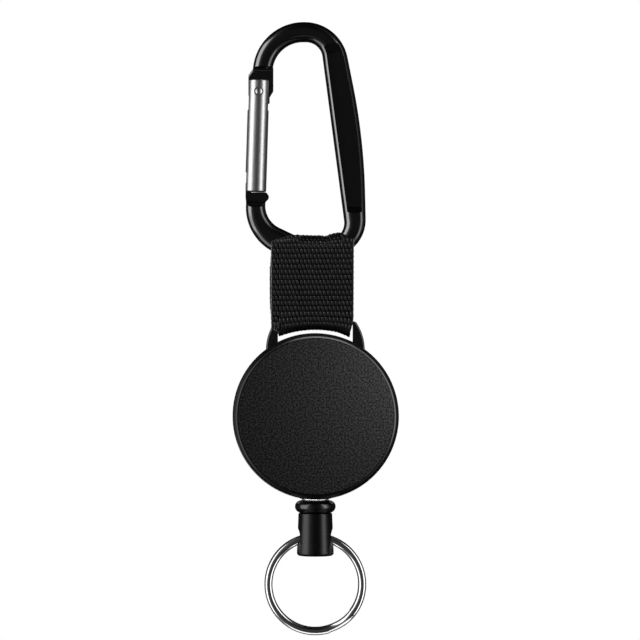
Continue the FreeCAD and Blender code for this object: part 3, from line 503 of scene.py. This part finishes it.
def sample(run, travel):
    """Points (y, z) and outward normals of a run at the given travel."""
    known, y, z = run
    step = 0.05
    points = np.stack([np.interp(travel, known, y), np.interp(travel, known, z)], 1)
    ahead = np.stack([np.interp(travel + step, known, y), np.interp(travel + step, known, z)], 1)
    behind = np.stack([np.interp(travel - step, known, y), np.interp(travel - step, known, z)], 1)
    along = ahead - behind
    along /= np.linalg.norm(along, axis=1)[:, None]
    return points, np.stack([along[:, 1], -along[:, 0]], 1)


def near(travel, middle, inner, outer):
    """1 within inner of a middle, falling to 0 at outer."""
    return 1 - smooth(np.abs(travel - middle), inner, outer)


def squeeze(travel):
    """How thick the weave is along its travel: it is pulled thin over the bar."""
    return 1 - OVER_THINNING * near(travel, OVER_MIDDLE, 2.2, 5.0)


def relief(travel):
    """How far the yarns rise and fall: they are pulled flat round both folds."""
    return (1 - OVER_FLATTENING * near(travel, OVER_MIDDLE, 1.5, 5.0)
            - UNDER_FLATTENING * near(travel, UNDER_MIDDLE, 1.2, 3.8))


def shift_x(x, z):
    """The right edge is drawn in towards the lower fold."""
    return -EDGE_DRAW * smooth(-z, -24.0, -19.6) * smooth(np.asarray(x, float), 4.5, 9.2)


def back_shift(travel):
    """The back layers lie a little further left than the front one, so their edge peeps out."""
    inner_end = 1 - smooth(travel, BACK_LENGTH - 7, BACK_LENGTH)
    lapped_end = smooth(travel, LAP_START - 3, LAP_START + 2)
    return -BACK_SHIFT * (inner_end + lapped_end)


def yarn_rings(x, points, normals, lift, half_width, half_height, lean=0.0):
    """Rings of a yarn that runs along the strap; lean moves its middle sideways."""
    out = lift[:, None] + half_height[:, None] * np.sin(ROUND)
    rings = np.empty((len(points), SIDES, 3))
    middle = x + shift_x(x, points[:, 1]) + lean
    rings[:, :, 0] = middle[:, None] + half_width[:, None] * np.cos(ROUND)
    rings[:, :, 1] = points[:, 0][:, None] + normals[:, 0][:, None] * out
    rings[:, :, 2] = points[:, 1][:, None] + normals[:, 1][:, None] * out
    return rings


def warp(soup):
    """Yarns along the strap that pass over and under in turn."""
    for k in range(YARNS):
        x = FIRST_YARN + YARN_PITCH * k
        side = 1 if k % 2 else -1
        for run in runs(x):
            start, end = run[0][0], run[0][-1]
            travel = np.arange(start, end, ROW / STEPS_PER_ROW)
            points, normals = sample(run, travel)
            beat = math.pi * (travel - ROW_ORIGIN) / ROW
            wave = np.cos(beat) * side
            swing = np.sign(wave) * np.abs(wave) ** SWING_POWER
            swell = NARROW_HALF_WIDTH + HUMP_SWELL * np.sqrt(np.maximum(wave, 0))
            sway = YARN_SWAY * np.sin(beat) * side
            thin = squeeze(travel)
            loose = relief(travel)
            ends = np.minimum(smooth(travel, start - 0.1, start + 0.35),
                              1 - smooth(travel, end - 0.5, end))
            ends = END_TAPER + (1 - END_TAPER) * ends
            half_width = (YARN_HALF_WIDTH + (swell - YARN_HALF_WIDTH) * loose) * ends
            soup.tube(yarn_rings(x, points, normals, YARN_LIFT * swing * thin * ends * loose,
                                 half_width, YARN_HALF_HEIGHT * thin * ends,
                                 sway * loose + back_shift(travel)))


def edge_cords(soup):
    """A cord down each edge that swells a little at every row."""
    for x in (LEFT + EDGE_CORD_RADIUS, RIGHT - EDGE_CORD_RADIUS):
        for run in runs(x):
            travel = np.arange(run[0][0], run[0][-1], ROW / STEPS_PER_ROW)
            points, normals = sample(run, travel)
            beat = np.cos(2 * math.pi * (travel - ROW_ORIGIN) / ROW)
            half_depth = (EDGE_CORD_HALF_DEPTH + 0.04 * beat) * squeeze(travel)
            soup.tube(yarn_rings(x, points, normals, 0 * travel, EDGE_CORD_RADIUS + 0.03 * beat,
                                 half_depth, back_shift(travel)))


def weft_groups(columns, per_column, travel):
    """Neighbouring columns that one weft yarn joins, as lists of (x, run)."""
    groups, group, kind = [], [], None
    for x, found in zip(columns, per_column):
        hit = [(i, r) for i, r in enumerate(found)
               if r[0][0] + 0.15 <= travel <= r[0][-1] - 0.25]
        here = (len(found), hit[0][0]) if hit else None
        if here != kind and group:
            groups.append(group)
            group = []
        kind = here
        if hit:
            group.append((x, hit[0][1]))
    groups.append(group)
    return [group for group in groups if len(group) >= SHORTEST_WEFT]


def weft(soup):
    """Yarns across the strap, one under each row of humps, that overlap into a closed sheet."""
    columns = np.arange(LEFT + 0.2, RIGHT - 0.15, YARN_PITCH / 2)
    per_column = [runs(x) for x in columns]
    first_row = math.ceil(-ROW_ORIGIN / ROW)
    last_row = math.floor((TOTAL - ROW_ORIGIN) / ROW)
    for row in range(first_row, last_row + 1):
        travel = ROW_ORIGIN + row * ROW
        here = np.array([travel])
        thin = float(squeeze(here)[0])
        aside = float(back_shift(here)[0])
        half_height = WEFT_HALF_HEIGHT * thin
        for group in weft_groups(columns, per_column, travel):
            rings = np.empty((len(group), SIDES, 3))
            for i, (x, run) in enumerate(group):
                points, normals = sample(run, here)
                out = normals[0]
                tangent = np.array([-out[1], out[0]])
                phase = math.cos(math.pi * (x - FIRST_YARN) / YARN_PITCH) * (-1) ** row
                spot = points[0] + out * WEFT_WAVE * phase * thin
                for j, angle in enumerate(ROUND):
                    place = (spot + tangent * WEFT_HALF_WIDTH * math.cos(angle)
                             + out * half_height * math.sin(angle))
                    rings[i, j] = (x + aside + shift_x(x, points[0, 1]), place[0], place[1])
            soup.tube(rings)


def cut_edges(soup):
    """The sealed edges where the webbing ends: on the lap, and beside the folds."""
    def bead(samples, radius):
        """A rounded edge through the samples, a little deeper than it is high."""
        samples = np.array(samples)
        along = np.gradient(samples, axis=0)
        along /= np.linalg.norm(along, axis=1)[:, None]
        outward = np.array([0.0, 1.0, 0.0])
        sideways = np.cross(along, outward)
        sideways /= np.linalg.norm(sideways, axis=1)[:, None]
        rings = (samples[:, None, :] + radius * np.cos(ROUND)[None, :, None] * sideways[:, None, :]
                 + radius * 1.15 * np.sin(ROUND)[None, :, None] * outward)
        soup.tube(rings)

    inset = 0.2
    drop = 0.1
    bead([(x - BACK_SHIFT, runs(x)[-1][1][-1], LAP_TOP)
          for x in np.linspace(LEFT + inset, RIGHT - inset, 44)], 0.36)
    for low, high in ((LEFT + inset, CLOSED_LEFT - 0.05), (CLOSED_RIGHT + 0.05, RIGHT - inset)):
        across = np.linspace(low, high, 24)
        bead([(x, runs(x)[0][1][-1], runs(x)[0][2][-1] - drop) for x in across], EDGE_CORD_RADIUS)
        bead([(x, runs(x)[1][1][0], runs(x)[1][2][0] - drop) for x in across], EDGE_CORD_RADIUS)


soup = Soup()
warp(soup)
edge_cords(soup)
weft(soup)
cut_edges(soup)
webbing = soup.build("webbing_weave", polyester("polyester_yarn", 0.004))
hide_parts("webbing_strap")
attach(webbing, "strap")


# ---------------------------------------------------------------- stitches on the lapped end
STITCH_PITCH = 1.75
STITCH_GAP = 0.06               # share of the pitch left free at each end of a stitch
STITCH_RADIUS = 0.19
STITCH_ARCH = 0.2
STITCH_SINK = 0.12
STITCH_INSET = 0.2


def stitch(soup, a, b, across):
    """One arched stitch on the lap's surface from a to b, which are (x, z)."""
    share = np.linspace(0, 1, 9)
    rings = np.empty((len(share), SIDES, 3))
    for n, f in enumerate(share):
        p = a + (b - a) * f
        surface = MID + layer_half(p[1]) + THICKNESS * 1.5 - STITCH_SINK
        high = surface + STITCH_ARCH * math.sin(math.pi * f)
        radius = STITCH_RADIUS * (0.55 + 0.45 * math.sin(math.pi * f) ** 0.5)
        for j, angle in enumerate(ROUND):
            q = p + across * radius * math.cos(angle)
            rings[n, j] = (q[0], high + radius * math.sin(angle), q[1])
    soup.tube(rings)


def stitches():
    """A box of stitches with a cross in it."""
    soup = Soup()
    low, high = box_mm("strap_stitching")
    left, right = low.x + STITCH_INSET, high.x - STITCH_INSET
    bottom, top = low.z + STITCH_INSET, high.z - STITCH_INSET
    lines = [((left, bottom), (right, bottom)), ((right, bottom), (right, top)),
             ((right, top), (left, top)), ((left, top), (left, bottom)),
             ((left, bottom), (right, top)), ((left, top), (right, bottom))]
    for start, end in lines:
        start, end = np.array(start), np.array(end)
        length = np.linalg.norm(end - start)
        count = max(2, round(length / STITCH_PITCH))
        along = (end - start) / length
        across = np.array([-along[1], along[0]])
        for i in range(count):
            a = start + (end - start) * (i + STITCH_GAP) / count
            b = start + (end - start) * (i + 1 - STITCH_GAP) / count
            stitch(soup, a, b, across)
    made = soup.build("lap_stitches", polyester("sewing_thread", 0.015))
    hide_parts("strap_stitching")
    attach(made, "strap")
    return made


thread = stitches()


# ---------------------------------------------------------------- spring in the gate
SPRING_WIRE_RADIUS = 0.17
SPRING_COILS = 11
STEPS_PER_COIL = 28


def closing_spring():
    """The gate's coil spring, wound from its foot in the gate up to its head at the plunger, within the
    CAD spring's box.
    """
    low, high = box_mm("gate_spring")
    reach = (high.y - low.y) / 2
    radius = reach - SPRING_WIRE_RADIUS
    middle_y = (low.y + high.y) / 2
    foot = Vector((low.x + reach, middle_y, low.z + SPRING_WIRE_RADIUS))
    head = Vector((high.x - reach, middle_y, high.z - SPRING_WIRE_RADIUS))
    steps = SPRING_COILS * STEPS_PER_COIL
    rings = np.empty((steps + 1, SIDES, 3))
    for i in range(steps + 1):
        angle = 2 * math.pi * SPRING_COILS * i / steps
        middle = foot.lerp(head, i / steps)
        outward = Vector((math.cos(angle), math.sin(angle), 0))
        for j, turn in enumerate(ROUND):
            rise = Vector((0, 0, SPRING_WIRE_RADIUS * math.sin(turn)))
            rings[i, j] = middle + outward * (radius + SPRING_WIRE_RADIUS * math.cos(turn)) + rise
    soup = Soup()
    soup.tube(rings)
    made = soup.build("closing_spring_wire", FINISHES["gate_spring"])
    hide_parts("gate_spring")
    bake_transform(made)


closing_spring()


# ---------------------------------------------------------------- cord that is pulled out
CORD_SIDES = 12
STRETCHING_RINGS = 160
LOWER_RINGS = 24


def free_cord():
    """The cord below the casing: the part inside the outlet is built of many closely spaced rings."""
    low, high = box_mm("cord_free")
    radius = (high.x - low.x) / 2
    stretch_end = box_mm("outlet_bush")[0].z + 0.05
    heights = np.concatenate([np.linspace(high.z, stretch_end, STRETCHING_RINGS),
                              np.linspace(stretch_end - 0.2, low.z, LOWER_RINGS)])
    around = np.linspace(0, 2 * math.pi, CORD_SIDES, endpoint=False)
    rings = np.empty((len(heights), CORD_SIDES, 3))
    rings[:, :, 0] = radius * np.cos(around)
    rings[:, :, 1] = MID + radius * np.sin(around)
    rings[:, :, 2] = heights[:, None]
    soup = Soup()
    soup.tube(rings)
    made = soup.build("free_cord", FINISHES["cord_wound"])
    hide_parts("cord_free")
    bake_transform(made)
    return made


cord = free_cord()


# ---------------------------------------------------------------- floor, light and camera
def look_at(thing, target):
    thing.rotation_euler = (Vector(target) - thing.location).to_track_quat("-Z", "Y").to_euler()


def plane_object(name, size, location, material):
    half = size / 2
    corners = [(-half, -half, 0), (half, -half, 0), (half, half, 0), (-half, half, 0)]
    mesh = bpy.data.meshes.new(name)
    mesh.from_pydata(corners, [], [(0, 1, 2, 3)])
    mesh.materials.append(material)
    made = bpy.data.objects.new(name, mesh)
    made.location = location
    bpy.context.scene.collection.objects.link(made)
    return made


FLOOR_SIZE = 8.0
FLOOR_Z = -0.8                  # clear of the ring when the cord is pulled right out
floor_finish = Finish("pale_floor", grey(0.82), 0.8, Emission_Strength=0.55)
floor_finish.shader.inputs["Emission Color"].default_value = (1, 1, 1, 1)
floor_finish.color(floor_finish.grain(40.0, detail=3), grey(0.80), grey(0.84))
floor = plane_object("floor", FLOOR_SIZE, (0, 0, FLOOR_Z), floor_finish.material)
floor.visible_glossy = False
floor.visible_diffuse = False

OBJECT_MIDDLE = (0, -0.006, 0.02)
CASING_FRONT = (0, -0.012, 0)
TANG = (-0.013, -0.006, 0.083)
RING_BOTTOM = (0, -0.006, -0.05)
OUTLET = (0, -0.009, -0.02)
STRAP_FRONT = (0, -0.01, 0.033)


def area_light(name, azimuth, elevation, distance, size, power, lit, target=OBJECT_MIDDLE):
    """Soft box that lights only the objects in lit. Azimuth 0 is in front, positive to the right."""
    data = bpy.data.lights.new(name, "AREA")
    data.shape = "RECTANGLE"
    data.size, data.size_y = size
    data.energy = power
    lamp = bpy.data.objects.new(name, data)
    a, e = math.radians(azimuth), math.radians(elevation)
    lamp.location = Vector(target) + Vector((
        math.sin(a) * math.cos(e), -math.cos(a) * math.cos(e), math.sin(e))) * distance
    look_at(lamp, target)
    lamp.visible_camera = False
    bpy.context.scene.collection.objects.link(lamp)
    group = bpy.data.collections.new(name + "_lit")
    for thing in lit:
        group.objects.link(thing)
    lamp.light_linking.receiver_collection = group


woven = [webbing, thread]
face = nodes["face_disc"]
front_cover = nodes["front_cover"]
body = nodes["carabiner_body"]
ring = nodes["split_ring"]
bush = nodes["outlet_bush"]
back = woven + [nodes["rear_housing"]]
rest = [thing for thing in nodes.values() if thing not in (face, front_cover, ring)]
rest = [thing for thing in rest if thing not in woven] + [cord]
rest_right = [thing for thing in rest if thing is not body] + [front_cover]

area_light("left_box", -70, 10, 0.6, (0.5, 0.9), 4.0, rest)
area_light("right_box", 58, 14, 0.6, (0.26, 0.8), 2.2, rest_right)
area_light("body_right", 58, 8, 0.6, (0.26, 0.8), 1.1, [body])
area_light("body_left", -64, 22, 0.6, (0.5, 0.6), 1.8, [body])
area_light("body_low", -62, -38, 0.6, (0.4, 0.4), 0.7, [body])
area_light("tang_low", 0, -34, 0.6, (0.3, 0.06), 0.03, [body], TANG)
area_light("ring_left", -46, 0, 0.6, (0.22, 0.9), 1.2, [ring])
area_light("ring_right", 48, 0, 0.6, (0.22, 0.9), 1.2, [ring])
area_light("ring_low", 0, -60, 0.4, (0.4, 0.26), 0.5, [ring], RING_BOTTOM)
area_light("casing_left", -66, 0, 0.6, (0.6, 0.9), 1.6, [front_cover])
area_light("casing_top", 12, 57, 0.5, (0.34, 0.24), 1.3, [front_cover], CASING_FRONT)
area_light("casing_low", -144, -31, 0.5, (0.3, 0.3), 0.7, [front_cover], CASING_FRONT)
area_light("bush_low", 0, -6, 0.4, (0.5, 0.14), 1.5, [bush], OUTLET)
area_light("back_left", -145, 0, 0.8, (0.5, 0.7), 3.0, back)
area_light("back_right", 145, 0, 0.8, (0.5, 0.7), 3.0, back)
area_light("strap_key", -38, 44, 0.4, (0.10, 0.10), 0.42, woven, STRAP_FRONT)
area_light("face_lamp", 46.397, 20.774, 0.06203, (0.02, 0.02), 0.063, [face], CASING_FRONT)


# Stops of the world's brightness: by angle round the object in degrees, and by height of the ray.
AROUND_STOPS = [(-180, 0.03), (-100, 0.04), (-84, 0.15), (-76, 0.8), (-50, 0.9), (-34, 0.3),
                (-12, 0.09), (0, 0.05), (34, 0.05), (44, 0.6), (68, 0.8), (78, 0.2),
                (100, 0.04), (180, 0.03)]
HEIGHT_STOPS = [(-1.0, 0.3), (-0.5, 0.6), (-0.1, 1.0), (0.25, 1.0), (0.6, 0.3), (1.0, 0.05)]
SOFT_LIGHT = 0.15


def studio_world():
    """White to the camera. Reflections see bright sides, and dark in front and behind."""
    world = bpy.data.worlds.new("studio")
    bpy.context.scene.world = world
    world.use_nodes = True
    tree = world.node_tree
    tree.nodes.clear()

    def node(kind, links=(), **values):
        made = tree.nodes.new(kind)
        for key, value in values.items():
            setattr(made, key, value)
        for socket, source in links:
            if hasattr(source, "links"):
                tree.links.new(source, made.inputs[socket])
            else:
                made.inputs[socket].default_value = source
        return made

    def curve(value, stops):
        """Brightness that follows stops (place from -1 to 1, shade)."""
        share = node("ShaderNodeMapRange", [
            ("Value", value), ("From Min", -1.0), ("From Max", 1.0)]).outputs[0]
        made = node("ShaderNodeValToRGB", [("Fac", share)])
        elements = made.color_ramp.elements
        while len(elements) > 1:
            elements.remove(elements[-1])
        first_place, first_shade = stops[0]
        elements[0].position = (first_place + 1) / 2
        elements[0].color = (*grey(first_shade), 1)
        for place, shade in stops[1:]:
            elements.new((place + 1) / 2).color = (*grey(shade), 1)
        return made.outputs["Color"]

    def times(a, b):
        return node("ShaderNodeMath", [(0, a), (1, b)], operation="MULTIPLY").outputs[0]

    ray = node("ShaderNodeLightPath")
    direction = node("ShaderNodeTexCoord").outputs["Generated"]
    split = node("ShaderNodeSeparateXYZ", [(0, direction)])
    ahead = times(split.outputs["Y"], -1.0)
    azimuth = node("ShaderNodeMath", [
        (0, split.outputs["X"]), (1, ahead)], operation="ARCTAN2").outputs[0]
    around = curve(times(azimuth, 1 / math.pi), [(angle / 180, shade) for angle, shade in AROUND_STOPS])
    height = curve(split.outputs["Z"], HEIGHT_STOPS)
    mirrored = node("ShaderNodeBackground", [
        ("Color", (1, 1, 1, 1)), ("Strength", times(around, height))])
    seen = node("ShaderNodeBackground", [("Color", (1, 1, 1, 1)), ("Strength", 1.0)])
    soft = node("ShaderNodeBackground", [("Color", (1, 1, 1, 1)), ("Strength", SOFT_LIGHT)])
    other = node("ShaderNodeMixShader", [
        (0, ray.outputs["Is Glossy Ray"]), (1, soft.outputs[0]), (2, mirrored.outputs[0])])
    mixed = node("ShaderNodeMixShader", [
        (0, ray.outputs["Is Camera Ray"]), (1, other.outputs[0]), (2, seen.outputs[0])])
    node("ShaderNodeOutputWorld", [("Surface", mixed.outputs[0])])


studio_world()
bpy.context.scene.view_settings.view_transform = "Standard"

FRAME_WIDTH = 0.1555            # metres across the picture at the object
AIM = (0.00114, -0.006, 0.0233)
DISTANCE = 0.8
VIEW_AZIMUTH = math.radians(-1.5)
SENSOR_WIDTH = 36
camera_data = bpy.data.cameras.new("camera")
camera_data.sensor_width = SENSOR_WIDTH
camera_data.lens = SENSOR_WIDTH * DISTANCE / FRAME_WIDTH
camera = bpy.data.objects.new("camera", camera_data)
toward_camera = Vector((math.sin(VIEW_AZIMUTH), -math.cos(VIEW_AZIMUTH), 0))
camera.location = Vector(AIM) + toward_camera * DISTANCE
look_at(camera, AIM)
bpy.context.scene.collection.objects.link(camera)
bpy.context.scene.camera = camera
